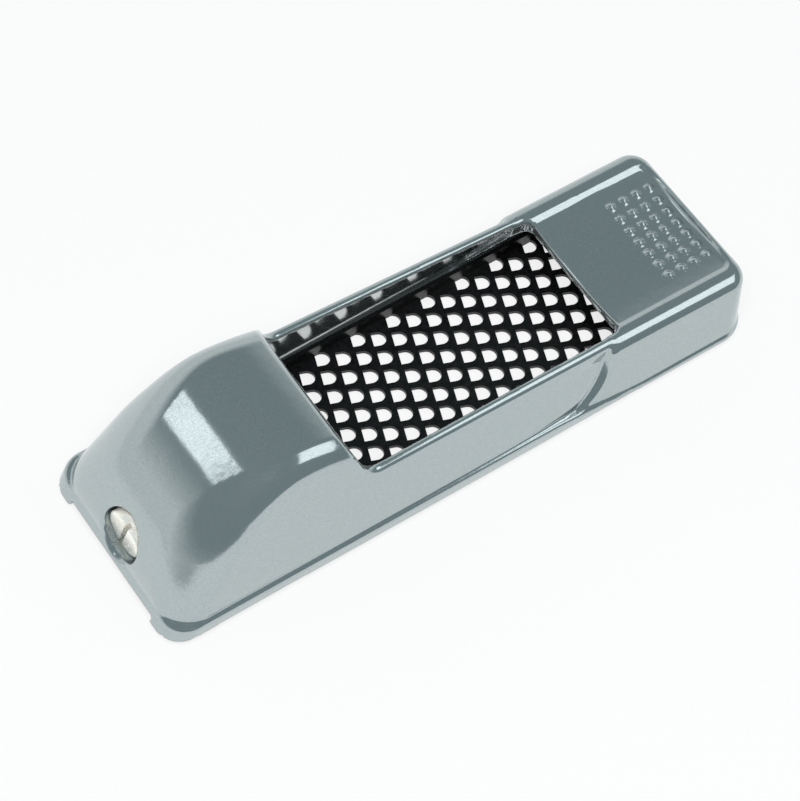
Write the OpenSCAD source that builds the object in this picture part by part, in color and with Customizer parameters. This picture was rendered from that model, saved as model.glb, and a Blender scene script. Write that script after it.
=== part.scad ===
// Pocket drywall rasp: a die-cast body with a palm dome and a finger pad,
// a perforated steel blade under it, and a screw-drawn hook that tensions the blade.
// +X runs from the palm dome to the finger pad, +Z is up, and the tooth tips lie at z = 0.

/* [Body] */
// Length of the body
body_len = 148.6; // [146:0.2:154]
// Width over the bottom bead at the dome end
body_w_front = 47.2; // [46.8:0.2:50]
// Width over the bottom bead at the pad end
body_w_rear = 49.2; // [48:0.2:51]
// Thickness of the cast walls
wall = 2.2; // [1.8:0.1:2.4]
// Height of the bottom bead
bead_h = 3.6; // [3.4:0.1:4.4]
// Step from the bead in to the side wall
bead_step = 0.9; // [0.4:0.1:1.1]
// Plan radius of the corners at the dome end
corner_r_front = 5.6; // [4:0.2:8]
// Plan radius of the corners at the pad end
corner_r_rear = 8; // [6:0.2:9]
// Width of the notch under the end wall
notch_w = 30.8; // [29.8:0.2:34]
// Height of the notch under the end wall
notch_h = 1.8; // [1.6:0.1:2.1]

/* [Rails] */
// Height of the rails above the body's bottom edge, at the dome
rail_h_front = 18.9; // [17.5:0.1:21]
// Height of the rails above the body's bottom edge, at the pad
rail_h_rear = 15.5; // [15:0.1:17]
// Outer half width of the rails at the dome
rail_y_front = 19.6; // [19:0.1:20.4]
// Outer half width of the rails at the pad
rail_y_rear = 18.7; // [18:0.1:19.4]
// Width of a rail's top
rail_w = 2; // [1.6:0.1:2.8]
// Width of the pad's shoulders past the rails, towards the window
rail_lip = 0.3; // [0.2:0.05:0.6]

/* [Palm dome] */
// Height of the dome above the body's bottom edge
dome_h = 32; // [31:0.5:36]
// Distance from the end wall's foot to the dome's crest
crest_at = 31; // [28:0.5:34]
// Distance from the end wall's foot to where the mouth meets the rails
mouth_at = 49.2; // [47:0.2:54]
// Height of the mouth's top edge above the body's bottom edge
mouth_h = 29.2; // [27.5:0.1:30.4]
// Lean of the mouth towards the end wall, in degrees
mouth_rake = 23; // [14:1:28]
// Plan radius of the dome's front corners, high up
dome_corner_r = 11; // [10:0.5:12]
// Radius between the dome's sides and its top
dome_edge_r = 4; // [3:0.5:6]
// Lean of the end wall over the bead's height
end_lean = 1.7; // [1:0.1:2.2]

/* [Finger pad] */
// Length of the finger pad, from its window edge to the pad end
pad_len = 33.1; // [30:0.1:36]
// Height of the pad's rim at the pad end
pad_h_end = 14.8; // [14:0.1:15.4]
// Inward lean of the pad's walls from the bottom edge to the rim
pad_draft = 4.3; // [3.4:0.1:4.6]
// Plan radius of the pad's corners at the rim
pad_corner_r = 4; // [3:0.5:6]
// Radius of the pad's top edge
pad_edge_r = 1.6; // [1:0.1:2]
// Width of the rim at the pad end
rim_w = 1.6; // [1.2:0.1:2.6]
// Distance ahead of the window edge at which the pad's shoulders start
shoulder_lead = 5.5; // [3:0.5:8]
// Distance ahead of the window edge at which the pad's flare starts at the bottom
flare_lead = 20; // [12:1:26]
// Depth of the sunk panel below the rim, at its middle
panel_depth = 1.8; // [1.6:0.1:2.4]
// Radius of the panel's dish
panel_dish_r = 90; // [80:5:140]
// Diameter of a grip bump
bump_d = 2.4; // [1.8:0.1:2.8]
// Height of a grip bump
bump_h = 0.6; // [0.4:0.1:0.9]
// Pitch of the grip bumps
bump_pitch = 3.5; // [3.2:0.1:3.8]
// Rows of bumps across the pad
bump_rows = 7; // [5:1:7]
// Columns of bumps along the pad
bump_cols = 4; // [3:1:5]
// Distance from the pad end to the last column of bumps
bump_end = 4.8; // [3.8:0.1:6]

/* [Blade] */
// Length of the blade's plate
blade_len = 137.6; // [134:0.2:138.4]
// Width over the blade's turned-up flanges
blade_w = 41.3; // [40.3:0.1:41.6]
// Thickness of the blade's steel
blade_t = 0.9; // [0.7:0.05:1.1]
// Height of the teeth below the plate
tooth_h = 0.5; // [0.3:0.05:0.8]
// Height of the side flanges above the plate
flange_h = 2.7; // [1.5:0.1:2.8]
// Distance from the plate's rear end to the flanges
flange_stop = 5; // [4.6:0.1:9]
// Width of a hole across its flat edge
hole_w = 3.4; // [2.6:0.1:3.6]
// Distance from a hole's flat edge to the middle of its round end
hole_len = 1.4; // [0.8:0.1:1.6]
// Pitch of the holes along a row
hole_pitch = 9.25; // [8.8:0.05:9.6]
// Shift along the blade from one row to the next
row_shift = 3.88; // [3.7:0.02:4]
// Distance between rows
row_pitch = 2.3; // [2.2:0.02:2.5]
// Distance from the blade's middle to a hole of the middle row
hole_at = 2.2; // [-4.6:0.1:4.6]
// Distance from the blade's centre line to the middle row
row_at = -0.3; // [-1.1:0.1:1.1]
// Turn of the rows from the blade's length, in degrees
row_turn = 0.6; // [0:0.1:0.9]
// Turn of the holes from the rows, in degrees
tooth_turn = 20; // [16:1:30]
// Width of a tooth's cutting lip
lip_w = 0.7; // [0.5:0.1:0.9]
// Distance from the blade's edge to the outermost row of holes
side_margin = 2.1; // [2:0.1:3.6]
// Distance from the blade's front tabs, and from its rear tab, to the field of holes
end_margin = 12; // [8:0.5:20]
// Width of the plain tongue at the blade's front
tongue_w = 28.8; // [27:0.2:29.4]
// Length of the blade's ears, along the bottom edge
ear_len = 4.6; // [3:0.2:6]
// Reach of the ears past the blade's flanges
ear_reach = 2.5; // [1.5:0.1:2.7]
// Width of the rear tab
rear_tab_w = 16; // [12:0.5:20]
// Height of the rear tab above the plate
rear_tab_h = 6.4; // [4:0.2:7]
// Thickness of the body's lug that holds the rear tab
lug_t = 3.2; // [2.4:0.1:4]

/* [Tension screw] */
// Diameter of the screw's thread
screw_d = 5; // [4:0.5:5]
// Length of the screw below its head
screw_len = 17; // [15:0.5:20]
// Diameter of the screw's head
head_d = 10.6; // [9:0.1:10.8]
// Height of the screw's head
head_h = 2.9; // [2.2:0.1:3.2]
// Width of the screw's slot
slot_w = 1.2; // [0.8:0.1:1.6]
// Depth of the screw's slot
slot_depth = 1.3; // [0.8:0.1:1.6]
// Turn of the screw's slot from the tool's width, in degrees
slot_turn = 105; // [0:5:180]
// Height of the screw's axis above the body's bottom edge
screw_z = 8.1; // [7.9:0.1:9]
// Diameter of the head's recess
recess_d = 11.4; // [11.2:0.1:11.8]
// Distance from the end wall's foot to the recess's floor
recess_floor_at = 6.8; // [6.4:0.1:7.2]
// Thickness of the recess's floor
floor_t = 2.6; // [2:0.1:3]
// Wall of the boss round the recess
boss_wall = 1.7; // [1.4:0.1:1.8]
// Outer diameter of the retaining ring
ring_d = 9; // [8:0.2:10]
// Thickness of the retaining ring
ring_t = 0.8; // [0.6:0.1:1]
// Depth of the ring's groove in the screw
groove_depth = 0.5; // [0.3:0.05:0.7]

/* [Clamp hook] */
// Thickness of the hook's steel
hook_t = 2; // [1.6:0.1:2.4]
// Width over the hook's two arms
hook_w = 24; // [22.4:0.2:25]
// Height of the hook's plate above the screw's axis
hook_rise = 5.5; // [4.5:0.1:7]
// Gap between the retaining ring and the hook's plate
hook_clear = 1; // [0.6:0.1:1.5]
// Distance from the end wall's foot to the blade's front tabs
tab_at = 5.4; // [5.2:0.1:5.8]
// Width of each front tab of the blade
front_tab_w = 4.6; // [4.2:0.2:5]
// Height of each front tab above the plate
front_tab_h = 4.4; // [4.1:0.1:4.6]
// Height of a hook's tongue
hook_tongue_h = 1.5; // [1.2:0.1:1.6]
// Height of the tongue's underside above the blade's plate
hook_tongue_z = 1.4; // [1.2:0.1:1.5]
// Reach of a hook's tongue past the blade's front tab
hook_reach = 0.9; // [0.5:0.1:1]

/* [Fits] */
// Running clearance on the screw's radius
run_gap = 0.06; // [0.02:0.01:0.1]
// Gap between pieces that seat on each other
seat_gap = 0.2; // [0.1:0.05:0.3]
// Gap between the blade's flanges and the inside of the bead
bay_gap = 0.3; // [0.15:0.05:0.5]
// Gap between the front tabs and the hook's shoulders, in which the blade swings
swing_gap = 0.35; // [0.3:0.05:0.5]
// Gap round a hook's tongue in the blade's tab
slot_gap = 0.5; // [0.4:0.05:0.6]
// Room kept free for the blade behind its rear tab, as the hook is let out
let_out = 3.6; // [3.3:0.1:4]

/* [Hidden] */
$fn = 64;

eps = 0.02;
foot_x = -body_len / 2;
end_x = body_len / 2;
plate_top = tooth_h + blade_t;
body_z = plate_top + seat_gap / 2;
axis_z = body_z + screw_z;

mouth_x = foot_x + mouth_at;
crest_x = foot_x + crest_at;
pad_x = end_x - pad_len;
front_x = foot_x + end_lean;
tilt = atan((rail_h_rear - pad_h_end) / pad_len);
panel_y = rail_y_rear - rail_w - rail_lip;
rim_in = 0.4;

floor_x = foot_x + recess_floor_at;
boss_x = floor_x + floor_t;
ring_x = boss_x + seat_gap;
tab_x = foot_x + tab_at;
hook_x = ring_x + ring_t + hook_clear;
tongue_z = plate_top + hook_tongue_z + hook_tongue_h / 2;
arm_y = (hook_w - hook_t) / 2;

blade_x0 = foot_x + 1.4;
blade_x1 = min(blade_x0 + blade_len, end_x - wall - let_out);
lug_x = blade_x1 - blade_t - seat_gap;
ear_x = tab_x + blade_t / 2 + 1.1;
bay_y = blade_w / 2 + bay_gap;

// Half width of the bead at a place along the body
function bead_y(x) = (body_w_front + (body_w_rear - body_w_front) * (x - foot_x) / body_len) / 2;
// Height of the rails' line at a place along the body
function rail_z(x) = rail_h_front + (rail_h_rear - rail_h_front) * (x - mouth_x) / (pad_x - mouth_x);
// Outer half width of the rails' line at a place along the body
function rail_y(x) = rail_y_front + (rail_y_rear - rail_y_front) * (x - mouth_x) / (pad_x - mouth_x);

// Points of an arc from angle a0 to a1
function arc(cx, cy, r, a0, a1, n) =
    [for (i = [0:n]) let (a = a0 + (a1 - a0) * i / n) [cx + r * cos(a), cy + r * sin(a)]];

// Plan outline with half widths y0 and y1 at its two ends, and corners of radius r0 and r1 there
function plan(x0, x1, y0, y1, r0, r1) = concat(
    arc(x0 + r0, r0 - y0, r0, 180, 270, 6),
    arc(x1 - r1, r1 - y1, r1, 270, 360, 6),
    arc(x1 - r1, y1 - r1, r1, 0, 90, 6),
    arc(x0 + r0, y0 - r0, r0, 90, 180, 6));

// Place of the dome's front at height z: a superellipse from the bead to the crest
function dome_front(z) = let (t = (z - bead_h) / (dome_h - bead_h))
    front_x + (crest_x - front_x) * (1 - pow(1 - pow(t, 1.6), 1 / 1.75));
// Place of the raked mouth at height z
function mouth_plane(z) = mouth_x - max(0, z - rail_h_front) * tan(mouth_rake);
// Place of the dome's rear at height z: the mouth, then the crown behind the crest
function dome_rear(z) = z <= mouth_h ? mouth_plane(z)
    : crest_x + (mouth_plane(mouth_h) - crest_x) * sqrt((dome_h - z) / (dome_h - mouth_h));
// Half width of the dome's leaning side at height z, at a place along the body
function dome_side(z, x) = let (y0 = bead_y(x) - bead_step)
    y0 + (rail_y_front - y0) * (z - bead_h) / (rail_h_front - bead_h);
// Half width of the dome there, rounded into its top
function dome_half(z, x) = let (zc = dome_h - dome_edge_r)
    dome_side(min(z, zc), x) - dome_edge_r + sqrt(pow(dome_edge_r, 2) - pow(max(0, z - zc), 2));
// Plan radius of the dome's front corners at height z
function dome_corner(z) = corner_r_front + (dome_corner_r - corner_r_front) * min(1, z / (0.6 * dome_h));

// One level of the dome, thin and drawn in by inset; the hollow's levels run on past the mouth
module dome_level(z, inset, drop) {
    x0 = dome_front(z) + inset;
    x1 = max(dome_rear(z) + (z <= mouth_h ? 2 * inset : 0), x0 + 2);
    y0 = dome_half(z, x0) - inset;
    r = min(dome_corner(z) - inset, (x1 - x0) / 2, y0 - 1);
    translate([0, 0, z - drop])
        linear_extrude(eps)
            polygon(plan(x0, x1, y0, dome_half(z, x1) - inset, r, 0.1));
}

// The dome as a solid: its levels in one hull
module dome_form(inset) {
    mouth_t = (mouth_h - bead_h) / (dome_h - bead_h);
    hull() {
        for (t = [0, 0.16, 0.3, 0.44, 0.57, 0.68, 0.78, 0.86, mouth_t, 0.95, 0.98, 0.995])
            dome_level(bead_h + (dome_h - bead_h) * t, inset, inset);
        dome_level(bead_h, inset, inset > 0 ? bead_h + 1 : 0.4);
    }
}

// Cross-section of a side wall at x, with a rounded rail, drawn in by inset
function wall_section(x, side, inset) = let (
    r = rail_w / 2, z = rail_z(x) - r, y = rail_y(x) - r - inset, b = bead_y(x) - bead_step - inset)
    [for (p = concat([[b, bead_h - 0.4]], arc(y, z, r, 10, 170, 6), [[b - wall, bead_h - 0.4]]))
        [side * p[0], p[1]]];

// Side wall from the dome to the pad; its ends run a little inside both
module side_wall(side) {
    hull()
        for (end = [[mouth_x - 1, 0.2], [pad_x + 1, 0]])
            translate([end[0], 0, 0])
                rotate([90, 0, 90])
                    linear_extrude(eps)
                        polygon(wall_section(end[0], side, end[1]));
}

// Bottom bead round the whole body, with its front leaning back like the end wall
module bead() {
    difference() {
        hull() {
            linear_extrude(eps)
                polygon(plan(foot_x, end_x, bead_y(foot_x), bead_y(end_x), corner_r_front, corner_r_rear));
            translate([0, 0, bead_h - eps])
                linear_extrude(eps)
                    polygon(plan(front_x, end_x, bead_y(foot_x), bead_y(end_x), corner_r_front, corner_r_rear));
        }
        difference() {
            translate([0, 0, -1])
                linear_extrude(bead_h + 2)
                    polygon(plan(front_x + wall, end_x - wall, bay_y, bay_y, corner_r_front - wall,
                        corner_r_rear - wall));
            screw_boss();
        }
    }
}

// One level of the pad's box, thin and sloped like the rim, from lead ahead of the window edge
module pad_level(lead, end_in, y, r, drop) {
    translate([pad_x, 0, rail_h_rear - drop])
        rotate([0, tilt, 0])
            linear_extrude(eps)
                polygon(plan(-lead, pad_len - end_in, y, y, 0.1, r));
}

// The pad's box as a solid, flared out to the bead at its foot
module pad_form() {
    y = bead_y(end_x) - pad_draft;
    hull() {
        linear_extrude(eps)
            polygon(plan(pad_x - flare_lead, end_x, bead_y(pad_x - flare_lead), bead_y(end_x), 0.1,
                corner_r_rear));
        for (a = [0:30:90])
            pad_level(shoulder_lead, rim_in + pad_edge_r * (1 - cos(a)), y - pad_edge_r * (1 - cos(a)),
                pad_corner_r, pad_edge_r * (1 - sin(a)) + eps);
    }
}

// The hollow under the pad's panel
module pad_hollow() {
    lead = flare_lead + 2;
    hull() {
        for (z = [-1, flange_h + 0.5])
            translate([0, 0, z])
                linear_extrude(eps)
                    polygon(plan(pad_x - lead, end_x - wall, bay_y, bay_y, 0.1, corner_r_rear - wall));
        pad_level(lead, wall + rim_in, panel_y + rail_lip, pad_corner_r, panel_depth + wall);
    }
}

// The sunk panel's cut: a dish that follows the rim's slope
module panel_cut() {
    translate([pad_x, 0, rail_h_rear])
        rotate([0, tilt, 0])
            intersection() {
                translate([0, 0, -panel_depth - 1])
                    linear_extrude(panel_depth + 6)
                        polygon(plan(-1, pad_len - rim_in - rim_w, panel_y, panel_y, 0.1, 2));
                translate([-pad_len, 0, panel_dish_r - panel_depth])
                    rotate([0, 90, 0])
                        cylinder(h = 3 * pad_len, r = panel_dish_r, $fn = 128);
            }
}

// Grip bumps on the panel: rows across the pad and columns along it
module bumps() {
    ball_r = (pow(bump_d / 2, 2) + pow(bump_h, 2)) / (2 * bump_h);
    translate([pad_x, 0, rail_h_rear])
        rotate([0, tilt, 0])
            for (i = [0:bump_cols - 1], j = [0:bump_rows - 1])
                let (x = pad_len - bump_end - i * bump_pitch, y = (j - (bump_rows - 1) / 2) * bump_pitch,
                    sag = panel_dish_r - sqrt(pow(panel_dish_r, 2) - y * y))
                    translate([x, y, sag - panel_depth])
                        intersection() {
                            translate([0, 0, bump_h - ball_r])
                                sphere(r = ball_r, $fn = 24);
                            translate([0, 0, -wall / 2])
                                cylinder(h = wall / 2 + 2, r = ball_r, $fn = 24);
                        }
}

// Boss round the screw's recess, flat underneath
module screw_boss() {
    intersection() {
        translate([foot_x, 0, screw_z])
            rotate([0, 90, 0])
                cylinder(h = boss_x - foot_x, d = recess_d + 2 * boss_wall);
        translate([foot_x, -body_w_front / 2, notch_h])
            cube([body_len / 2, body_w_front, dome_h]);
    }
}

// Lug under the pad, which holds the blade's rear tab
module rear_lug() {
    translate([lug_x - lug_t, -rear_tab_w / 2, 0.5])
        cube([lug_t, rear_tab_w, rail_h_rear]);
}

// Recess for the screw's head, and the screw's hole behind it
module screw_holes() {
    translate([foot_x - 5, 0, screw_z])
        rotate([0, 90, 0])
            cylinder(h = floor_x - foot_x + 5, d = recess_d);
    translate([floor_x - 1, 0, screw_z])
        rotate([0, 90, 0])
            cylinder(h = floor_t + 3, r = screw_d / 2 + run_gap);
}

// Notch under the end wall, where the front of the blade shows
module notch() {
    translate([foot_x - 1, -notch_w / 2, -1])
        cube([end_lean + wall + 4, notch_w, notch_h + 1]);
}

// The end of the open window, cut out of the pad's form
module window() {
    x0 = pad_x - flare_lead - 1;
    y0 = rail_y(x0) - rail_w - rail_lip / 2;
    y1 = rail_y_rear - rail_w - rail_lip / 2;
    translate([0, 0, -1])
        linear_extrude(dome_h + 2)
            polygon([[x0, -y0], [pad_x, -y1], [pad_x, y1], [x0, y0]]);
}

// Die-cast body: one shell with its screw boss and its rear lug
module body() {
    color([0.42, 0.52, 0.53])
        translate([0, 0, body_z]) {
            difference() {
                union() {
                    dome_form(0);
                    bead();
                    side_wall(1);
                    side_wall(-1);
                    difference() {
                        pad_form();
                        panel_cut();
                    }
                }
                difference() {
                    dome_form(wall);
                    screw_boss();
                }
                difference() {
                    pad_hollow();
                    rear_lug();
                }
                window();
                screw_holes();
                notch();
            }
            bumps();
        }
}

// Outline of one hole: a flat cutting edge and a round end
module hole_shape() {
    translate([-hole_len, -hole_w / 2])
        square([hole_len, hole_w]);
    intersection() {
        circle(d = hole_w, $fn = 24);
        translate([-hole_len / 2, -hole_w])
            square(2 * hole_w);
    }
}

// Places its children at each hole of the blade's field: skewed rows, kept off the blade's edges
module hole_field() {
    rows = ceil(blade_w / 2 / row_pitch);
    cols = ceil((blade_len / 2 + rows * row_shift) / hole_pitch);
    for (j = [-rows:rows], i = [-cols:cols])
        let (x = hole_at + i * hole_pitch + j * row_shift, y = row_at - j * row_pitch)
            if (abs(y) < blade_w / 2 - side_margin && x > tab_x + end_margin && x < blade_x1 - end_margin)
                rotate(row_turn)
                    translate([x, y])
                        rotate(-tooth_turn - row_turn)
                            children();
}

// Blade: a perforated plate with turned-up flanges and tabs, and ears under the bead
module blade() {
    flange_x0 = ear_x + ear_len;
    color([0.09, 0.09, 0.1]) {
        translate([0, 0, tooth_h])
            linear_extrude(blade_t)
                difference() {
                    union() {
                        translate([blade_x0, -tongue_w / 2])
                            square([ear_x - blade_x0 + 1, tongue_w]);
                        translate([ear_x, -blade_w / 2 - ear_reach])
                            square([ear_len, blade_w + 2 * ear_reach]);
                        translate([ear_x, -blade_w / 2])
                            square([blade_x1 - ear_x, blade_w]);
                    }
                    hole_field()
                        hole_shape();
                }
        for (s = [-1, 1])
            translate([flange_x0, s > 0 ? blade_w / 2 - blade_t : -blade_w / 2, tooth_h])
                cube([blade_x1 - flange_stop - flange_x0, blade_t, blade_t + flange_h]);
        translate([blade_x1 - blade_t, -rear_tab_w / 2, tooth_h])
            cube([blade_t, rear_tab_w, blade_t + rear_tab_h]);
        for (s = [-1, 1])
            front_tab(s * arm_y);
        linear_extrude(tooth_h + eps)
            hole_field()
                translate([-hole_len - lip_w, -(hole_w - lip_w) / 2])
                    square([lip_w, hole_w - lip_w]);
    }
}

// A front tab of the blade, with the slot that the hook's tongue goes through
module front_tab(y) {
    tab_slot_h = hook_tongue_h + 2 * slot_gap;
    tab_slot_w = hook_t + 2 * slot_gap;
    difference() {
        translate([tab_x, y - front_tab_w / 2, tooth_h])
            cube([blade_t, front_tab_w, blade_t + front_tab_h]);
        translate([tab_x - 1, y - tab_slot_w / 2, tongue_z - tab_slot_h / 2])
            cube([blade_t + 2, tab_slot_w, tab_slot_h]);
    }
}

// Tension screw: a slotted pan head, and a shank with a groove for the ring
module tension_screw() {
    head_x = floor_x - seat_gap;
    tip_x = head_x + screw_len;
    color([0.82, 0.8, 0.72])
        translate([0, 0, axis_z])
            rotate([0, 90, 0])
                difference() {
                    union() {
                        translate([0, 0, head_x])
                            cylinder(h = screw_len - 0.8, d = screw_d);
                        translate([0, 0, tip_x - 0.8])
                            cylinder(h = 0.8, d1 = screw_d, d2 = screw_d - 1.4);
                        translate([0, 0, head_x - head_h])
                            cylinder(h = 0.7, d1 = head_d - 1.6, d2 = head_d);
                        translate([0, 0, head_x - head_h + 0.7])
                            cylinder(h = head_h - 0.7, d = head_d);
                    }
                    rotate(slot_turn)
                        translate([-slot_w / 2, -head_d, head_x - head_h - 1])
                            cube([slot_w, 2 * head_d, slot_depth + 1]);
                    translate([0, 0, ring_x])
                        difference() {
                            cylinder(h = ring_t, d = screw_d + 2);
                            translate([0, 0, -1])
                                cylinder(h = ring_t + 2, d = screw_d - 2 * groove_depth);
                        }
                }
}

// Retaining ring: a split ring in the screw's groove, behind the recess's floor
module retaining_ring() {
    ring_gap = 3;
    color([0.3, 0.3, 0.32])
        translate([ring_x + 0.05, 0, axis_z])
            rotate([0, 90, 0])
                difference() {
                    cylinder(h = ring_t - 0.1, d = ring_d);
                    translate([0, 0, -1])
                        cylinder(h = ring_t + 2, r = screw_d / 2 - groove_depth + run_gap);
                    translate([0, -ring_gap / 2, -1])
                        cube([ring_d, ring_gap, ring_t + 2]);
                }
}

// Clamp hook: a bent plate on the screw's thread, with two arms that hook the blade's tabs
module clamp_hook() {
    shoulder_x = tab_x + blade_t + swing_gap;
    plate_z0 = plate_top + 1;
    color([0.5, 0.5, 0.52])
        difference() {
            union() {
                translate([hook_x, -hook_w / 2, plate_z0])
                    cube([hook_t, hook_w, axis_z + hook_rise - plate_z0]);
                for (s = [-1, 1])
                    translate([0, s * arm_y - hook_t / 2, tongue_z - hook_tongue_h / 2]) {
                        translate([tab_x - hook_reach, 0, 0])
                            cube([hook_x - tab_x + hook_reach + eps, hook_t, hook_tongue_h]);
                        translate([shoulder_x, 0, -0.4])
                            cube([hook_x - shoulder_x + eps, hook_t, hook_tongue_h + 0.4]);
                        translate([shoulder_x + 1.6, 0, 0])
                            cube([hook_x - shoulder_x - 1.6 + eps, hook_t, 3 * hook_tongue_h]);
                    }
            }
            translate([hook_x - 1, 0, axis_z])
                rotate([0, 90, 0])
                    cylinder(h = hook_t + 2, r = screw_d / 2 + run_gap);
        }
}

body();
blade();
tension_screw();
retaining_ring();
clamp_hook();
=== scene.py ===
import bpy
import math
import numpy as np
from mathutils import Matrix


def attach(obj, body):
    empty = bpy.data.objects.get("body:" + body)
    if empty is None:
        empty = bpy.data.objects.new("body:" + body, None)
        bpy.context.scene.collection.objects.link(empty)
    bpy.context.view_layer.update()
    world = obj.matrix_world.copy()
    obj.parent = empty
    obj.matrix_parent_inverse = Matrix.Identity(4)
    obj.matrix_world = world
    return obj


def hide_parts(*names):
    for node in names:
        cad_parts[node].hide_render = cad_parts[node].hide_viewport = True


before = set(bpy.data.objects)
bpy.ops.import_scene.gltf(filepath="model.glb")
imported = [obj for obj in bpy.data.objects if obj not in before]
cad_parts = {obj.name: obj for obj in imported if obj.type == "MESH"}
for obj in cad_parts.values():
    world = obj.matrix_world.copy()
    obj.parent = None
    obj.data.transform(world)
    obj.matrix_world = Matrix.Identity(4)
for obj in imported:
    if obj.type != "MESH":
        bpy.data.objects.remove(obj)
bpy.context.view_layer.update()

# Millimetres, in the same places as in the construction; the body's own heights start at bodyZ
tool = {"bodyZ": 1.5, "footX": -74.3, "endX": 74.3, "plateLow": 0.5, "axisZ": 9.6}

# Camera, where the photograph was taken from: place in metres, turn in degrees, lens in millimetres
view = {"place": (-0.18435, -0.20275, 0.439807), "turn": (31.6167, -4.5177, -34.5571),
        "lens": 109.516, "sensor": 36}
cameraData = bpy.data.cameras.new("camera")
cameraData.lens = view["lens"]
cameraData.sensor_width = view["sensor"]
camera = bpy.data.objects.new("camera", cameraData)
camera.location = view["place"]
camera.rotation_euler = [math.radians(a) for a in view["turn"]]
bpy.context.scene.collection.objects.link(camera)
bpy.context.scene.camera = camera


# Shape tools: a form is a signed function of x, y, z, below zero inside

# Overlap with an edge of radius r: the larger of a and b, but where both are above -r the length of
# (a + r, b + r) less r
def roundMax(a, b, r):
    corner = np.sqrt(np.maximum(a + r, 0) ** 2 + np.maximum(b + r, 0) ** 2)
    return np.minimum(np.maximum(a + r, b + r), 0) - r + corner


# Joint with a hollow fillet of radius r: the same with both signs turned, and turned back
def softMin(a, b, r):
    return -roundMax(-a, -b, r)


# Smooth step from 0 at a to 1 at b: 3 t^2 - 2 t^3 of the share t
def ease(x, a, b):
    t = np.clip((x - a) / (b - a), 0, 1)
    return t * t * (3 - 2 * t)


# The same step over a span that is given from a place
def easeAt(x, place, span):
    return ease(x, place + span[0], place + span[1])


# Slope of a form: the difference between h ahead and h behind, over 2 h, along each axis
def slopeOf(form, p):
    h = 0.02
    steps = [form(*(p + h * axis)) - form(*(p - h * axis)) for axis in np.eye(3)[:, :, None]]
    return np.array(steps) / (2 * h)


# Closed surface of a form: one point in each grid cell that the surface crosses, at the mean of its
# crossings with the cell's edges; the four cells round each crossed edge make a face, and each point
# is then pulled onto the surface along the slope
def surfaceOf(form, low, high, step, pulls=5):
    counts = [int(math.ceil((b - a) / step)) + 1 for a, b in zip(low, high)]
    axes = [a + step * np.arange(n) for a, n in zip(low, counts)]
    grid = np.meshgrid(*axes, indexing="ij")
    value = form(*grid)
    inside = value < 0
    cells = tuple(n - 1 for n in counts)
    total = np.zeros((3,) + cells)
    hits = np.zeros(cells)
    crossed = []
    for axis in range(3):
        near = tuple(slice(0, -1) if k == axis else slice(None) for k in range(3))
        far = tuple(slice(1, None) if k == axis else slice(None) for k in range(3))
        a, b = value[near], value[far]
        cut = inside[near] != inside[far]
        share = np.where(cut, a / np.where(cut, a - b, 1), 0)
        spot = [g[near].astype(float) for g in grid]
        spot[axis] = spot[axis] + share * step
        u, v = [k for k in range(3) if k != axis]
        for i in (0, 1):
            for j in (0, 1):
                pick = [slice(None)] * 3
                pick[u] = slice(i, i + cells[u])
                pick[v] = slice(j, j + cells[v])
                pick = tuple(pick)
                hit = cut[pick]
                hits += hit
                for k in range(3):
                    total[k] += np.where(hit, spot[k][pick], 0)
        crossed.append((cut, inside[near], u, v))
    used = hits > 0
    number = np.full(cells, -1)
    number[used] = np.arange(used.sum())
    points = np.array([total[k][used] / hits[used] for k in range(3)])
    faces = []
    for axis, (cut, startsInside, u, v) in enumerate(crossed):
        edges = np.argwhere(cut)
        within = (edges[:, u] > 0) & (edges[:, v] > 0) & (edges[:, u] < cells[u]) & (edges[:, v] < cells[v])
        edges = edges[within]
        corners = []
        for i, j in ((1, 1), (0, 1), (0, 0), (1, 0)):
            cell = edges.copy()
            cell[:, u] -= i
            cell[:, v] -= j
            corners.append(number[tuple(cell.T)])
        quad = np.stack(corners, 1)
        outward = startsInside[tuple(edges.T)]
        if axis == 1:  # the other two axes are in the opposite order there
            outward = ~outward
        quad[~outward] = quad[~outward][:, ::-1]
        faces.append(quad)
    for pull in range(pulls):
        slope = slopeOf(form, points)
        steep = np.maximum((slope ** 2).sum(0), 0.05)  # a flat spot doesn't throw its point away
        move = -form(*points) * slope / steep
        length = np.sqrt((move ** 2).sum(0))
        points = points + move * np.minimum(1, 0.5 * step / np.maximum(length, 1e-9))  # half a cell at most
    slope = slopeOf(form, points)
    normals = slope / np.maximum(np.sqrt((slope ** 2).sum(0)), 1e-9)
    return points.T, np.concatenate(faces), normals.T


# Mesh object from points in millimetres, with smooth faces and, if given, the form's own normals
def pieceOf(name, points, faces, normals=None):
    mesh = bpy.data.meshes.new(name)
    mesh.vertices.add(len(points))
    mesh.vertices.foreach_set("co", (points / 1000).astype(np.float32).ravel())
    size = faces.shape[1]
    mesh.loops.add(faces.size)
    mesh.loops.foreach_set("vertex_index", faces.astype(np.int32).ravel())
    mesh.polygons.add(len(faces))
    mesh.polygons.foreach_set("loop_start", np.arange(0, faces.size, size, dtype=np.int32))
    mesh.polygons.foreach_set("loop_total", np.full(len(faces), size, dtype=np.int32))
    mesh.polygons.foreach_set("use_smooth", np.ones(len(faces), dtype=bool))
    mesh.update(calc_edges=True)
    mesh.validate()
    if normals is not None:
        mesh.normals_split_custom_set_from_vertices(normals)
    piece = bpy.data.objects.new(name, mesh)
    bpy.context.scene.collection.objects.link(piece)
    print("piece", name, len(points), "points", len(faces), "faces")
    return piece


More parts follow.
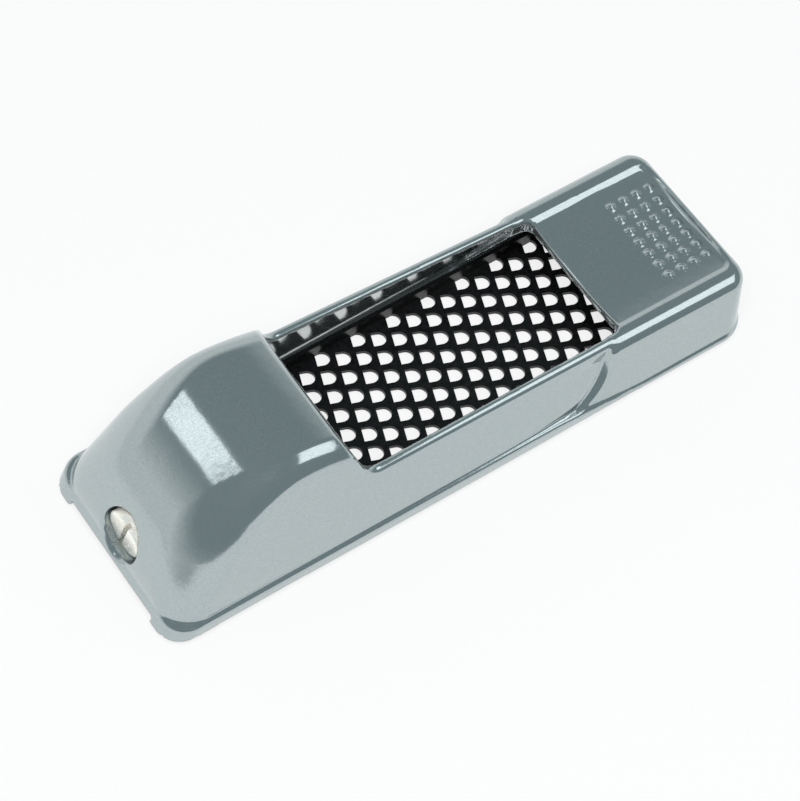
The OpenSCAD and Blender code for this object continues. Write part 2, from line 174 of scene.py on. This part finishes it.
# Body: die-cast shell with palm dome, rails, finger pad, panel and screw recess. A pair that ends in
# At or Fade is the span of a smooth step, in height or from the crest or the pad's front
body = {"low": (-76.1, -26.1, 0.2), "high": (76.1, 26.1, 35.2), "step": 0.57,  # grid
        "wall": 2.2, "lean": 1.7, "cornerFront": 5.6, "cornerRear": 8.0, "thinEdge": 0.3,
        # bead round the foot, and the blade's bay inside it
        "beadHalf": (23.6, 24.6), "beadHigh": 3.6, "beadStep": 0.9, "beadRound": 0.75,
        "beadDrop": 2.2, "beadDropAt": (-22, 4), "footEdge": 0.35,
        "bay": 20.95, "bayFlare": 0.7, "bayFlareAt": (2.2, 3.4), "bayCorner": (3.4, 5.8),
        # palm dome and its mouth
        "domeHigh": 31.86, "crestAt": 31.0, "runPower": 1.75, "risePower": 1.6,
        "domeCorner": 12.5, "domeCornerAt": (-4, 16), "domeEdge": 4.6, "domeEdgeAt": (-24, 4),
        "frontFade": (8, 24), "topFade": (-18, -8),
        "mouthAt": 49.2, "mouthHigh": 29.2, "mouthRake": 23.0, "mouthBend": 2.0, "mouthShift": 0.4,
        "mouthRound": 0.9,
        # side walls and rails
        "railHigh": (18.9, 15.5), "railHalf": (19.6, 18.7), "railWide": 2.0, "railLip": 0.3,
        "railRound": 0.95, "railDip": 0.8, "railDipAt": (-4, -1.5), "windowCorner": 3.0,
        "wallFrom": 2.8, "wallExtra": 0.1, "wallEnds": (3, 1.5), "domeReach": 6,
        "scoop": 1.1, "scoopRun": 7, "scoopTopAt": (12, 15.2),
        # finger pad, its sweep down to the bead, and its panel
        "padLong": 33.1, "padEndHigh": 14.8, "padDraft": 4.3, "padCorner": 4.4, "padEdge": 2.3,
        "padInset": 0.15, "padEndLean": 0.1,
        "sweepLead": 3.9, "sweepRun": 19.0, "sweepFall": 5.2, "sweepScale": 0.75, "sweepRound": 1.6,
        "panelDeep": 1.8, "panelDish": 90.0, "panelCorner": 2.6, "panelRound": 1.4, "panelAhead": 30,
        "rimWide": 1.6, "rimInset": 0.4, "rimRound": 0.45, "cutCorner": 0.5,
        # hollow under the pad, and the window
        "hollowFrom": 3, "hollowFall": 0.02, "hollowInset": 0.4, "hollowCorner": 3, "hollowRound": 1.2,
        "windowAhead": 60, "windowInset": 0.15, "windowRound": 2.4, "windowEdge": 0.8,
        # screw boss, recess and hole
        "screwAt": 8.3, "bossAt": 5.4, "bossHalf": 4.0, "bossWall": 1.8, "bossEdge": 0.4,
        "bossOver": 0.1, "bossUnder": 0.6, "recessWide": 11.6, "recessDeep": 6.8, "recessLip": 0.8,
        "holeHalf": 2.56, "holeAt": 8, "holeReach": 3,
        # lug for the blade's rear tab, and the notch under the end wall
        "lugAt": 65.25, "lugMid": 6.4, "lugHalf": (1.6, 8, 5.9),
        "notchHalf": 15.4, "notchHigh": 1.2, "notchEdge": 0.4, "notchReach": 1.5,
        # fillets where the parts join
        "beadBlend": 0.35, "padBlend": 0.9, "bossBlend": 0.5, "lugBlend": 0.4}
padX = tool["endX"] - body["padLong"]
mouthX = tool["footX"] + body["mouthAt"]
crestX = tool["footX"] + body["crestAt"]
frontX = tool["footX"] + body["lean"]
panelHalf = body["railHalf"][1] - body["railWide"] - body["railLip"]


# Half width of the bead: a straight line along the body
def beadHalf(x):
    front, rear = body["beadHalf"]
    return front + (rear - front) * (x - tool["footX"]) / (2 * tool["endX"])


# Height and half width of the rails: straight lines from the mouth to the pad
def railHigh(x):
    front, rear = body["railHigh"]
    return front + (rear - front) * (x - mouthX) / (padX - mouthX)


def railHalf(x):
    front, rear = body["railHalf"]
    return front + (rear - front) * (x - mouthX) / (padX - mouthX)


# Outline seen from above: a box from x0 to x1 and out to half, its corners rounded by r0 and r1
def planForm(x, y, x0, x1, half, r0, r1):
    r = np.where(x < (x0 + x1) / 2, r0, r1)
    side = np.abs(y) - half
    end = np.maximum(x0 - x, x - x1)
    return roundMax(side, end, r)


# Side wall's outer face: leans in from the bead's top to the rail, as a straight line in height
def sideFace(x, y, z):
    low = beadHalf(x) - body["beadStep"]
    lean = (railHalf(x) - low) / (railHigh(x) - body["beadHigh"])
    return (np.abs(y) - low - lean * (z - body["beadHigh"])) / np.sqrt(1 + lean ** 2)


# Dome's front and top in one curve: (run to the crest / its length)^1.75 + (height share)^1.6 = 1 ahead
# of the crest, and a parabola behind it that falls to the mouth's top edge
def crownFace(x, z):
    run = crestX - frontX
    rise = body["domeHigh"] - body["beadHigh"]
    u = np.maximum(crestX - x, 0) / run
    t = np.maximum(z - body["beadHigh"], 0) / rise
    p, q = body["runPower"], body["risePower"]
    value = u ** p + t ** q - 1
    steep = np.sqrt((p * u ** (p - 1) / run) ** 2 + (q * t ** (q - 1) / rise) ** 2)
    fore = value / np.maximum(steep, 0.02)
    lip = mouthX - (body["mouthHigh"] - body["railHigh"][0]) * math.tan(math.radians(body["mouthRake"]))
    fall = body["domeHigh"] - body["mouthHigh"]
    s = np.maximum(x - crestX, 0) / (lip - crestX)
    aft = (z - body["domeHigh"] + fall * s ** 2) / np.sqrt(1 + (2 * fall * s / (lip - crestX)) ** 2)
    return np.where(x < crestX, fore, aft)


# Dome without its mouth: sides and crown meet in a radius that is wide at the front and small at the
# top. Low down, the front's distance is measured along x, so that the corner is round in plan
def domeForm(x, y, z):
    wide = body["cornerFront"] + (body["domeCorner"] - body["cornerFront"]) * ease(z, *body["domeCornerAt"])
    r = wide + (body["domeEdge"] - wide) * easeAt(x, crestX, body["domeEdgeAt"])
    side = sideFace(np.minimum(x, mouthX), y, z)
    # The height share stops short of the curve's flat top
    share = np.clip((z - body["beadHigh"]) / (body["domeHigh"] - body["beadHigh"]), 0, 0.96)
    back = 1 - (1 - share ** body["risePower"]) ** (1 / body["runPower"])
    front = frontX + (crestX - frontX) * back - x
    blend = np.maximum(ease(z, *body["frontFade"]), easeAt(x, crestX, body["topFade"]))
    return roundMax(side, front * (1 - blend) + crownFace(x, z) * blend, r)


# Raked mouth: x less the mouth's place, plus the rake times a ramp of the height over the rails, which
# bends softly from upright to leaning back
def mouthFace(x, z):
    rake = math.tan(math.radians(body["mouthRake"]))
    over = z - body["railHigh"][0]
    bend = 0.5 * (over + np.sqrt(over ** 2 + body["mouthBend"] ** 2))
    return (x - mouthX + rake * (bend - body["mouthShift"])) / math.sqrt(1 + 0.5 * rake ** 2)


# Height of the pad's rim: a straight fall from the window edge to the end
def rimHigh(x):
    return body["railHigh"][1] - (x - padX) * (body["railHigh"][1] - body["padEndHigh"]) / body["padLong"]


# Place of the pad's front edge: it sweeps forward to the bead as an exponential of the height
def sweepAt(z):
    return padX - body["sweepLead"] - body["sweepRun"] * np.exp(-np.maximum(z, 0) / body["sweepFall"])


# Finger pad's block: walls flare out to the bead as a straight line in height, the front edge follows
# the sweep, and the top follows the rim
def padForm(x, y, z):
    low = beadHalf(x) - body["padInset"]
    top = body["beadHalf"][1] - body["padDraft"]
    lean = (top - low) / body["padEndHigh"]
    side = (np.abs(y) - low - lean * z) / np.sqrt(1 + lean ** 2)
    share = np.clip(z / body["padEndHigh"], 0, 1)
    end = x - tool["endX"] + body["padInset"] + body["padEndLean"] * share
    corner = body["cornerRear"] + (body["padCorner"] - body["cornerRear"]) * share
    wall = roundMax(side, end, corner)
    front = (sweepAt(z) - x) * body["sweepScale"]
    wall = roundMax(wall, front, body["sweepRound"])
    return roundMax(wall, z - rimHigh(x), body["padEdge"])


# Panel's cut: a dish of wide radius along the pad's slope, bounded by the rim
def panelForm(x, y, z):
    dish = body["panelDish"]
    deep = dish - body["panelDeep"]
    slope = (body["railHigh"][1] - body["padEndHigh"]) / body["padLong"]
    floor = np.sqrt(y ** 2 + (z - (body["railHigh"][1] - slope * (x - padX)) - deep) ** 2) - dish
    end = tool["endX"] - body["rimInset"] - body["rimWide"]
    plan = planForm(x, y, padX - body["panelAhead"], end, panelHalf, body["cutCorner"], body["panelCorner"])
    return roundMax(floor, plan, body["panelRound"])


# Foot's outline: a box in plan, whose front leans back with the end wall
def footForm(x, y, z):
    front = tool["footX"] + body["lean"] * np.clip(z / body["beadHigh"], 0, 1)
    return planForm(x, y, front, tool["endX"], beadHalf(x), body["cornerFront"], body["cornerRear"])


# Bead: the foot's outline up to a top that drops towards the pad, less the bay, which is open below
def beadForm(x, y, z, foot):
    top = body["beadHigh"] - body["beadDrop"] * easeAt(x, padX, body["beadDropAt"])
    bead = roundMax(foot, z - top, body["beadRound"])
    half = body["bay"] + body["bayFlare"] * ease(z, *body["bayFlareAt"])
    bay = planForm(x, y, frontX + body["wall"], tool["endX"] - body["wall"], half, *body["bayCorner"])
    return roundMax(bead, -bay, body["thinEdge"])


# Dome's shell: the dome less itself drawn in by the wall, cut by the mouth
def shellForm(x, z, dome):
    shell = roundMax(dome, -(dome + body["wall"]), body["thinEdge"])
    shell = roundMax(shell, mouthFace(x, z), body["mouthRound"])
    return np.maximum(shell, body["wallFrom"] - z)


# Side walls under the rails, with a scoop that fades as an exponential of the way ahead of the sweep
def wallForm(x, y, z, dome):
    face = sideFace(x, y, z)
    ahead = np.maximum(sweepAt(z) - x, 0)
    outer = face + body["scoop"] * np.exp(-ahead / body["scoopRun"]) * (1 - ease(z, *body["scoopTopAt"]))
    railTop = railHigh(x) - body["railDip"] * easeAt(x, padX, body["railDipAt"])
    top = softMin(z - railTop, mouthFace(x, z), body["windowCorner"])
    inner = -(face + body["railWide"] + body["wallExtra"])
    wall = roundMax(roundMax(outer, top, body["railRound"]), inner, body["railRound"])
    wall = np.where(x < mouthX + body["domeReach"], np.maximum(wall, dome), wall)
    wall = np.maximum(wall, np.maximum(mouthX - body["wallEnds"][0] - x, x - padX + body["wallEnds"][1]))
    return np.maximum(wall, body["wallFrom"] - z)


# Finger pad: its block less the panel, the hollow under it and the window
def fingerPad(x, y, z):
    pad = roundMax(padForm(x, y, z), -panelForm(x, y, z), body["rimRound"])
    roof = body["railHigh"][1] - body["panelDeep"] - body["wall"] - (x - padX) * body["hollowFall"]
    share = np.clip((z - body["hollowFrom"]) / (roof - body["hollowFrom"]), 0, 1)
    side = np.abs(y) - (body["bay"] + (panelHalf + body["railLip"] - body["bay"]) * share)
    end = x - tool["endX"] + body["wall"] + body["hollowInset"]
    hollow = roundMax(roundMax(side, end, body["hollowCorner"]), z - roof, body["hollowRound"])
    pad = roundMax(pad, -hollow, body["thinEdge"])
    half = railHalf(x) - body["railWide"] - body["windowInset"]
    window = planForm(x, y, padX - body["windowAhead"], padX, half, body["cutCorner"], body["windowRound"])
    return roundMax(pad, -window, body["windowEdge"])


# Screw boss inside the end wall: a round block, kept above the notch and under the dome's skin
def bossForm(x, ring, z, dome):
    reach = np.abs(x - tool["footX"] - body["bossAt"]) - body["bossHalf"]
    boss = roundMax(ring - body["recessWide"] / 2 - body["bossWall"], reach, body["bossEdge"])
    boss = np.maximum(boss, body["notchHigh"] + body["bossOver"] - z)
    return np.maximum(boss, dome + body["bossUnder"])


# Lug that holds the blade's rear tab: a box
def lugForm(x, y, z):
    halfX, halfY, halfZ = body["lugHalf"]
    across = np.maximum(np.abs(y) - halfY, np.abs(z - body["lugMid"]) - halfZ)
    return np.maximum(np.abs(x - body["lugAt"]) - halfX, across)


# Cast body: the outer forms joined with small fillets, less the recess, the screw's hole and the notch
def bodyForm(x, y, z):
    z = z - tool["bodyZ"]
    foot = footForm(x, y, z)
    dome = domeForm(x, y, z)
    ring = np.sqrt(y ** 2 + (z - body["screwAt"]) ** 2)
    bore = np.sqrt(y ** 2 + (z - tool["axisZ"] + tool["bodyZ"]) ** 2)
    whole = np.minimum(shellForm(x, z, dome), wallForm(x, y, z, dome))
    whole = softMin(whole, beadForm(x, y, z, foot), body["beadBlend"])
    whole = softMin(whole, fingerPad(x, y, z), body["padBlend"])
    whole = np.maximum(whole, foot)
    whole = softMin(whole, bossForm(x, ring, z, dome), body["bossBlend"])
    whole = softMin(whole, lugForm(x, y, z), body["lugBlend"])
    recess = roundMax(ring - body["recessWide"] / 2, x - tool["footX"] - body["recessDeep"], body["thinEdge"])
    whole = roundMax(whole, -recess, body["recessLip"])
    hole = np.maximum(bore - body["holeHalf"], np.abs(x - tool["footX"] - body["holeAt"]) - body["holeReach"])
    whole = np.maximum(whole, -hole)
    notch = roundMax(np.abs(y) - body["notchHalf"], z - body["notchHigh"], body["notchEdge"])
    notch = np.maximum(notch, x - tool["footX"] - body["lean"] - body["wall"] - body["notchReach"])
    whole = roundMax(whole, -notch, body["notchEdge"])
    return roundMax(whole, -z, body["footEdge"])


points, faces, normals = surfaceOf(bodyForm, body["low"], body["high"], body["step"])
bodyPiece = pieceOf("body_shell", points, faces, normals)
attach(bodyPiece, "casting")
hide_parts("body")

# Grip bumps on the panel, each closed a little below it
bumps = {"wide": 3.1, "high": 0.74, "power": 1.6, "sink": 0.04, "foot": -0.7,
         "pitch": 3.5, "rows": 7, "cols": 4, "fromEnd": 4.8, "rings": 10, "spokes": 24}


# One bump on rings and spokes: height times cos^1.6 of a quarter turn of r / half width, less the sink
# everywhere but at its centre
def bumpCap():
    ringR = bumps["wide"] / 2 * np.append(np.linspace(0, 1, bumps["rings"])[1:], 1)
    ringZ = bumps["high"] * np.cos(math.pi * ringR / bumps["wide"]) ** bumps["power"] - bumps["sink"]
    ringZ[-1] = bumps["foot"]
    spoke = np.linspace(0, 2 * math.pi, bumps["spokes"], endpoint=False)
    capX = np.concatenate([[0], np.outer(ringR, np.cos(spoke)).ravel(), [0]])
    capY = np.concatenate([[0], np.outer(ringR, np.sin(spoke)).ravel(), [0]])
    capZ = np.concatenate([[bumps["high"]], np.repeat(ringZ, bumps["spokes"]), [bumps["foot"]]])
    rings, spokes = len(ringR), bumps["spokes"]
    here = np.arange(spokes)
    after = (here + 1) % spokes
    tri = [np.stack([np.zeros(spokes, int), 1 + here, 1 + after], 1)]
    for ring in range(rings - 1):
        a, b = 1 + ring * spokes, 1 + (ring + 1) * spokes
        tri.append(np.stack([a + here, b + here, b + after], 1))
        tri.append(np.stack([a + here, b + after, a + after], 1))
    last = 1 + (rings - 1) * spokes
    tri.append(np.stack([last + here, np.full(spokes, 1 + rings * spokes), last + after], 1))
    return capX, capY, capZ, np.concatenate(tri)


capX, capY, capZ, capFaces = bumpCap()
col, row = np.meshgrid(np.arange(bumps["cols"]), np.arange(bumps["rows"]), indexing="ij")
bumpX = tool["endX"] - bumps["fromEnd"] - col.ravel() * bumps["pitch"]
bumpY = (row.ravel() - (bumps["rows"] - 1) / 2) * bumps["pitch"]
sag = body["panelDish"] - np.sqrt(body["panelDish"] ** 2 - bumpY ** 2)
bumpZ = tool["bodyZ"] + rimHigh(bumpX) - body["panelDeep"] + sag
capPoints = [np.stack([capX + a, capY + b, capZ + c], 1) for a, b, c in zip(bumpX, bumpY, bumpZ)]
allFaces = [capFaces + i * len(capX) for i in range(len(bumpX))]
bumpPiece = pieceOf("grip_bumps", np.concatenate(capPoints), np.concatenate(allFaces))
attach(bumpPiece, "casting")
print("body done")


# Tension screw: domed slotted head, groove and a rolled thread
screw = {"headHalf": 5.3, "headHigh": 2.9, "headEdge": 0.6, "crown": 0.2,
         "slotHalf": 0.5, "slotDeep": 1.3, "slotTurn": math.radians(15), "slotFoot": 0.15, "slotEdge": 0.2,
         "threadHalf": 2.5, "pitch": 0.8, "ridge": 0.2, "long": 17.0, "threadFrom": 1.2, "threadStart": 0.8,
         "threadEnd": 0.6, "shankScale": 0.8, "tipEdge": 0.5, "overlap": 1, "grooveMid": 0.4,
         "grooveHalf": 0.4, "grooveCore": 2.0, "floor": 2.6, "gap": 0.2,
         "ahead": 3.4, "behind": 17.4, "around": 5.8, "step": 0.24}  # the last line is the grid
headX = tool["footX"] + body["recessDeep"] - screw["gap"]
ringX = tool["footX"] + body["recessDeep"] + screw["floor"] + screw["gap"]


# Screw along x: a disc with a rounded, crowned face, a turned slot, a groove for the ring, and a
# shank whose radius runs as a cosine of the turn angle less the way along the pitch
def screwForm(x, y, z):
    z = z - tool["axisZ"]
    r = np.sqrt(y ** 2 + z ** 2)
    face = headX - screw["headHigh"] - screw["crown"] * (1 - (r / screw["headHalf"]) ** 2)
    head = roundMax(r - screw["headHalf"], face - x, screw["headEdge"])
    head = np.maximum(head, x - headX)
    across = y * math.cos(screw["slotTurn"]) + z * math.sin(screw["slotTurn"])
    slotFloor = x - headX + screw["headHigh"] - screw["slotDeep"]
    slot = roundMax(np.abs(across) - screw["slotHalf"], slotFloor, screw["slotFoot"])
    head = roundMax(head, -slot, screw["slotEdge"])
    turn = np.arctan2(z, y)
    wave = np.cos(turn - 2 * math.pi * x / screw["pitch"])
    start = np.clip((x - ringX - screw["threadFrom"]) / screw["threadStart"], 0, 1)
    end = np.clip((headX + screw["long"] - screw["threadEnd"] - x) / screw["threadEnd"], 0, 1)
    thread = start * end
    shank = (r - screw["threadHalf"] + screw["ridge"] * thread * (1 - wave)) * screw["shankScale"]
    shank = roundMax(shank, x - headX - screw["long"], screw["tipEdge"])
    shank = np.maximum(shank, headX - screw["overlap"] - x)
    groove = np.maximum(np.abs(x - ringX - screw["grooveMid"]) - screw["grooveHalf"], screw["grooveCore"] - r)
    shank = np.maximum(shank, -groove)
    return np.minimum(head, shank)


screwLow = (headX - screw["ahead"], -screw["around"], tool["axisZ"] - screw["around"])
screwHigh = (headX + screw["behind"], screw["around"], tool["axisZ"] + screw["around"])
points, faces = surfaceOf(screwForm, screwLow, screwHigh, screw["step"])[:2]  # its normals aren't used
screwPiece = pieceOf("slotted_screw", points, faces)
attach(screwPiece, "screw")
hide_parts("tension_screw")
print("screw done")


# Blade: the plate stays, and each hole gets its raised cutting lip below the plate
teeth = {"pitch": 9.25, "shift": 3.88, "rowPitch": 2.3, "at": 2.2, "rowAt": -0.3, "rowTurn": 0.6,
         "turn": 20.0, "rows": 9, "cols": 12, "fieldHalf": 18.55, "field": (-56.9, 52.7),
         "edge": 1.4, "half": 1.5, "run": 0.9, "narrow": 0.75, "deep": 0.5, "extra": 0.02, "sink": 0.03,
         "tipAt": 0.68, "power": 1.5, "sideRise": 0.35, "top": 0.1, "along": 6, "across": 8}


# Holes on a skewed lattice: each row is shifted and lies a row pitch on, and all are turned a little
def holePlaces():
    rows = np.arange(-teeth["rows"], teeth["rows"] + 1)
    cols = np.arange(-teeth["cols"], teeth["cols"] + 1)
    row, col = np.meshgrid(rows, cols, indexing="ij")
    x = (teeth["at"] + col * teeth["pitch"] + row * teeth["shift"]).ravel()
    y = (teeth["rowAt"] - row * teeth["rowPitch"]).ravel()
    kept = (np.abs(y) < teeth["fieldHalf"]) & (x > teeth["field"][0]) & (x < teeth["field"][1])
    x, y = x[kept], y[kept]
    turn = math.radians(teeth["rowTurn"])
    return x * math.cos(turn) - y * math.sin(turn), x * math.sin(turn) + y * math.cos(turn)


# One lip: its depth grows as (share / 0.68)^1.5 towards the hole's flat edge, up to 1, and falls off
# across its width as 1 - 0.35 w^4; a flat top and sides close it
def lipShape():
    n, m = teeth["along"], teeth["across"]
    share, wide = np.meshgrid(np.linspace(0, 1, n), np.linspace(-1, 1, m), indexing="ij")
    u = -teeth["edge"] - teeth["run"] * (1 - share)
    v = teeth["half"] * wide * (teeth["narrow"] + (1 - teeth["narrow"]) * share)
    grown = np.minimum(1, share / teeth["tipAt"]) ** teeth["power"]
    fall = (teeth["deep"] + teeth["extra"]) * grown * (1 - teeth["sideRise"] * wide ** 4)
    low = np.maximum(tool["plateLow"] + teeth["sink"] - fall, 0.0)
    top = np.full_like(low, tool["plateLow"] + teeth["top"])
    grid = np.arange(n * m).reshape(n, m)
    under = np.stack([grid[:-1, :-1], grid[:-1, 1:], grid[1:, 1:], grid[1:, :-1]], -1).reshape(-1, 4)
    rim = np.concatenate([grid[0, :], grid[1:, -1], grid[-1, -2::-1], grid[-2:0:-1, 0]])
    after = np.roll(rim, -1)
    side = np.stack([after, rim, rim + n * m, after + n * m], -1)
    lipFaces = np.concatenate([under, under[:, ::-1] + n * m, side])
    u, v = np.tile(u.ravel(), 2), np.tile(v.ravel(), 2)
    bend = math.radians(-teeth["turn"])
    lipX = u * math.cos(bend) - v * math.sin(bend)
    lipY = u * math.sin(bend) + v * math.cos(bend)
    return lipX, lipY, np.concatenate([low.ravel(), top.ravel()]), lipFaces


holeX, holeY = holePlaces()
lipX, lipY, lipZ, lipFaces = lipShape()
lipPoints = np.stack([(holeX[:, None] + lipX).ravel(), (holeY[:, None] + lipY).ravel(),
                      np.tile(lipZ, len(holeX))], 1)
allFaces = [lipFaces + i * len(lipZ) for i in range(len(holeX))]
lipPiece = pieceOf("tooth_lips", lipPoints, np.concatenate(allFaces))
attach(lipPiece, "blade_plate")
print("teeth done")


# New node material; returns the material, its nodes, its links and its shader
def newMaterial(name):
    material = bpy.data.materials.new(name)
    material.use_nodes = True
    nodes = material.node_tree.nodes
    return material, nodes, material.node_tree.links, nodes["Principled BSDF"]


# Noise on object coordinates: size is the scale per metre
def addNoise(nodes, links, size, detail, rough):
    place = nodes.new("ShaderNodeTexCoord")
    noise = nodes.new("ShaderNodeTexNoise")
    noise.inputs["Scale"].default_value = size
    noise.inputs["Detail"].default_value = detail
    noise.inputs["Roughness"].default_value = rough
    links.new(place.outputs["Object"], noise.inputs["Vector"])
    return noise.outputs["Fac"]


# Ramp between two colours, from low to high of a factor
def addRamp(nodes, links, factor, low, high, a, b):
    ramp = nodes.new("ShaderNodeValToRGB")
    ramp.color_ramp.elements[0].position = low
    ramp.color_ramp.elements[1].position = high
    ramp.color_ramp.elements[0].color = (*a, 1)
    ramp.color_ramp.elements[1].color = (*b, 1)
    links.new(factor, ramp.inputs["Fac"])
    return ramp.outputs["Color"]


# Finish from one noise: it drives the colour, the roughness and, unless there is a wave, a fine bump
def finishOf(name, look):
    material, nodes, links, shader = newMaterial(name)
    grain = addNoise(nodes, links, look["grain"], look["detail"], look["grainRough"])
    tint = addRamp(nodes, links, grain, *look["tintSpan"], look["dark"], look["light"])
    links.new(tint, shader.inputs["Base Color"])
    first, second = [(value,) * 3 for value in look["rough"]]
    links.new(addRamp(nodes, links, grain, *look["roughSpan"], first, second), shader.inputs["Roughness"])
    shader.inputs["Metallic"].default_value = look["metal"]
    height = addNoise(nodes, links, look["wave"], 2, 0.5) if "wave" in look else grain
    bump = nodes.new("ShaderNodeBump")
    bump.inputs["Distance"].default_value = look["bump"]
    bump.inputs["Strength"].default_value = 1
    links.new(height, bump.inputs["Height"])
    links.new(bump.outputs["Normal"], shader.inputs["Normal"])
    return material, shader


# Enamel on the casting: metal flake under a thin clear coat, with a slow wave in the surface
enamel = {"grain": 5200, "detail": 1, "grainRough": 0.5, "tintSpan": (0.35, 0.7), "roughSpan": (0.3, 0.7),
          "dark": (0.37, 0.43, 0.44), "light": (0.48, 0.53, 0.535), "rough": (0.15, 0.09), "metal": 0.85,
          "wave": 260, "bump": 0.00003, "coat": 0.3, "coatRough": 0.05}
paint, shader = finishOf("grey_green_enamel", enamel)
shader.inputs["Coat Weight"].default_value = enamel["coat"]
shader.inputs["Coat Roughness"].default_value = enamel["coatRough"]
bodyPiece.data.materials.append(paint)
bumpPiece.data.materials.append(paint)

# Black half-gloss enamel on the blade and its lips
blackSteel = {"grain": 900, "detail": 3, "grainRough": 0.5, "tintSpan": (0.3, 0.75),
              "roughSpan": (0.3, 0.75), "dark": (0.002, 0.002, 0.0022), "light": (0.007, 0.007, 0.0075),
              "rough": (0.22, 0.42), "metal": 0, "bump": 0.00002, "specular": 0.35}
black, shader = finishOf("black_stove_enamel", blackSteel)
shader.inputs["Specular IOR Level"].default_value = blackSteel["specular"]
lipPiece.data.materials.append(black)

# Nickel plate, a little stained
nickelPlate = {"grain": 500, "detail": 4, "grainRough": 0.5, "tintSpan": (0.3, 0.65),
               "roughSpan": (0.3, 0.7), "dark": (0.8, 0.76, 0.67), "light": (0.95, 0.93, 0.88),
               "rough": (0.32, 0.2), "metal": 0.45, "bump": 0.00003}
nickel, shader = finishOf("bright_nickel", nickelPlate)
screwPiece.data.materials.append(nickel)

# Steels of the hidden ring and hook: fine grain
steel = {"detail": 4, "grainRough": 0.6, "tintSpan": (0.3, 0.7), "roughSpan": (0.3, 0.7), "metal": 1,
         "bump": 0.00003}
ringLook = {"grain": 1400, "dark": (0.06, 0.06, 0.065), "light": (0.16, 0.16, 0.17), "rough": (0.3, 0.5)}
hookLook = {"grain": 1100, "dark": (0.42, 0.42, 0.43), "light": (0.62, 0.62, 0.62), "rough": (0.25, 0.5)}
ringSteel = finishOf("black_spring_steel", {**steel, **ringLook})[0]
hookSteel = finishOf("zinc_plated_steel", {**steel, **hookLook})[0]
for node, material in (("blade", black), ("retaining_ring", ringSteel), ("clamp_hook", hookSteel)):
    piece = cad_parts[node]
    for slot in piece.material_slots:
        slot.material = material
    if not piece.material_slots:
        piece.data.materials.append(material)
print("materials done")


# Floor, just under the tooth tips
studio = {"floorSize": 3.0, "floorAt": -3e-5, "floorGlow": 0.76, "floorPale": 0.16, "floorMatt": 0.8,
          "floorRough": 0.9,
          "high": (0.16, 0.215, 0.23), "low": (0.8, 0.82, 0.82), "dimNear": -0.45, "horizon": (0.05, 0.42)}
floorMesh = bpy.data.meshes.new("floor")
s, z = studio["floorSize"], studio["floorAt"]
floorMesh.from_pydata([(-s, -s, z), (s, -s, z), (s, s, z), (-s, s, z)], [], [(0, 1, 2, 3)])
floor = bpy.data.objects.new("floor", floorMesh)
bpy.context.scene.collection.objects.link(floor)
# It is pale and matt, nearly white to the camera and in gloss, and keeps a faint shadow
white, nodes, links, shader = newMaterial("floor_white")
shader.inputs["Roughness"].default_value = studio["floorRough"]
shader.inputs["Specular IOR Level"].default_value = 0
path = nodes.new("ShaderNodeLightPath")
either = nodes.new("ShaderNodeMath")
either.operation = "MAXIMUM"
links.new(path.outputs["Is Camera Ray"], either.inputs[0])
links.new(path.outputs["Is Glossy Ray"], either.inputs[1])
glow = nodes.new("ShaderNodeMath")
glow.operation = "MULTIPLY"
links.new(either.outputs[0], glow.inputs[0])
glow.inputs[1].default_value = studio["floorGlow"]
matt, pale = (studio["floorMatt"],) * 3, (studio["floorPale"],) * 3
links.new(addRamp(nodes, links, either.outputs[0], 0, 1, matt, pale), shader.inputs["Base Color"])
shader.inputs["Emission Color"].default_value = (1, 1, 1, 1)
links.new(glow.outputs[0], shader.inputs["Emission Strength"])
floorMesh.materials.append(white)

# Lamps: place, target and size in metres, power, and whether they show in gloss
lamps = [{"name": "overhead", "place": (-0.3, -0.3, 1.0), "target": (0.0, 0.0, 0.0), "size": (0.7, 0.7),
          "power": 14.0, "inGloss": False},
         {"name": "strip_box", "place": (-0.225, 0.156, 0.3), "target": (-0.052, 0.001, 0.031),
          "size": (0.04, 0.14), "power": 0.03, "inGloss": True},
         {"name": "side_box", "place": (0.2, -0.09, 0.28), "target": (0.02, -0.015, 0.02),
          "size": (0.22, 0.15), "power": 0.16, "inGloss": True}]
for each in lamps:
    lampData = bpy.data.lights.new(each["name"], "AREA")
    lampData.shape = "RECTANGLE"
    lampData.size, lampData.size_y = each["size"]
    lampData.energy = each["power"]
    lamp = bpy.data.objects.new(each["name"], lampData)
    # The lamp's width lies across the tool, and it faces its target
    back = np.array(each["place"]) - np.array(each["target"])
    back /= np.linalg.norm(back)
    across = np.array((0, 1, 0)) - back[1] * back
    across /= np.linalg.norm(across)
    lamp.location = each["place"]
    lamp.rotation_euler = Matrix(np.stack([across, np.cross(back, across), back], 1).tolist()).to_euler()
    lamp.visible_glossy = each["inGloss"]
    bpy.context.scene.collection.objects.link(lamp)

# World: pale near the horizon, dimmer above, by the height less a share of the way across
world = bpy.data.worlds.new("studio")
world.use_nodes = True
nodes, links = world.node_tree.nodes, world.node_tree.links
place = nodes.new("ShaderNodeTexCoord")
split = nodes.new("ShaderNodeSeparateXYZ")
links.new(place.outputs["Generated"], split.inputs["Vector"])
height = nodes.new("ShaderNodeMath")
height.operation = "MULTIPLY_ADD"
height.inputs[1].default_value = studio["dimNear"]
links.new(split.outputs["Y"], height.inputs[0])
links.new(split.outputs["Z"], height.inputs[2])
sky = addRamp(nodes, links, height.outputs[0], *studio["horizon"], studio["low"], studio["high"])
links.new(sky, nodes["Background"].inputs["Color"])
nodes["Background"].inputs["Strength"].default_value = 1
bpy.context.scene.world = world
bpy.context.scene.view_settings.view_transform = "Standard"
